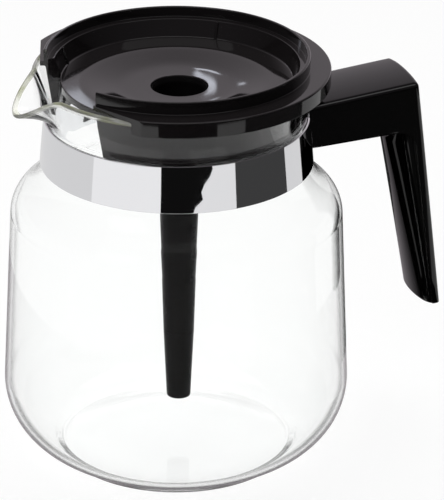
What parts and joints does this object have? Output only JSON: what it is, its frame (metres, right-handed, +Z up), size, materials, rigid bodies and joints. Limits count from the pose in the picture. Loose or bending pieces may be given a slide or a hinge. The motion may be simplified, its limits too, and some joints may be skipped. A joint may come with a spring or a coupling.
{
  "type": "coffee server carafe",
  "caption": "Clear glass coffee server with a bulbous body, a pulled spout, a polished neck band, a black L-shaped handle and a dished brew-through lid with a long mixing tube.",
  "frame": {"origin": "centre of the standing plane, on the jug's axis", "axes": "+Z up along the jug's axis, +X towards the handle, spout towards -X, +Y completing a right-handed frame"},
  "size_m": [0.1737, 0.135, 0.1648],
  "materials": {
    "glass": "clear, polished",
    "band_steel": "mirror polished",
    "handle_black": "glossy black",
    "lid_black": "satin gloss black",
    "tube_black": "satin black",
    "screw_steel": "plain",
    "nut_brass": "plain"
  },
  "bodies": {
    "jug": {"glass_jug": "glass", "neck_band": "band_steel", "handle": "handle_black", "clamp_nut": "nut_brass", "clamp_washer": "screw_steel", "clamp_screw": "screw_steel"},
    "tube": {"mixing_tube": "tube_black", "tube_end": "tube_black"},
    "lid": {"lid": "lid_black"}
  },
  "joints": [
    {"name": "lid_lift", "type": "slide", "parent": "jug", "child": "tube", "axis": [0, 0, 1], "range_m": [0, 0.16]},
    {"name": "lid_turn", "type": "hinge", "parent": "tube", "child": "lid", "pos_m": [0.00109, 0.00012, 0.158], "axis": [0, 0, 1], "range_deg": [-30, 17.5]}
  ]
}
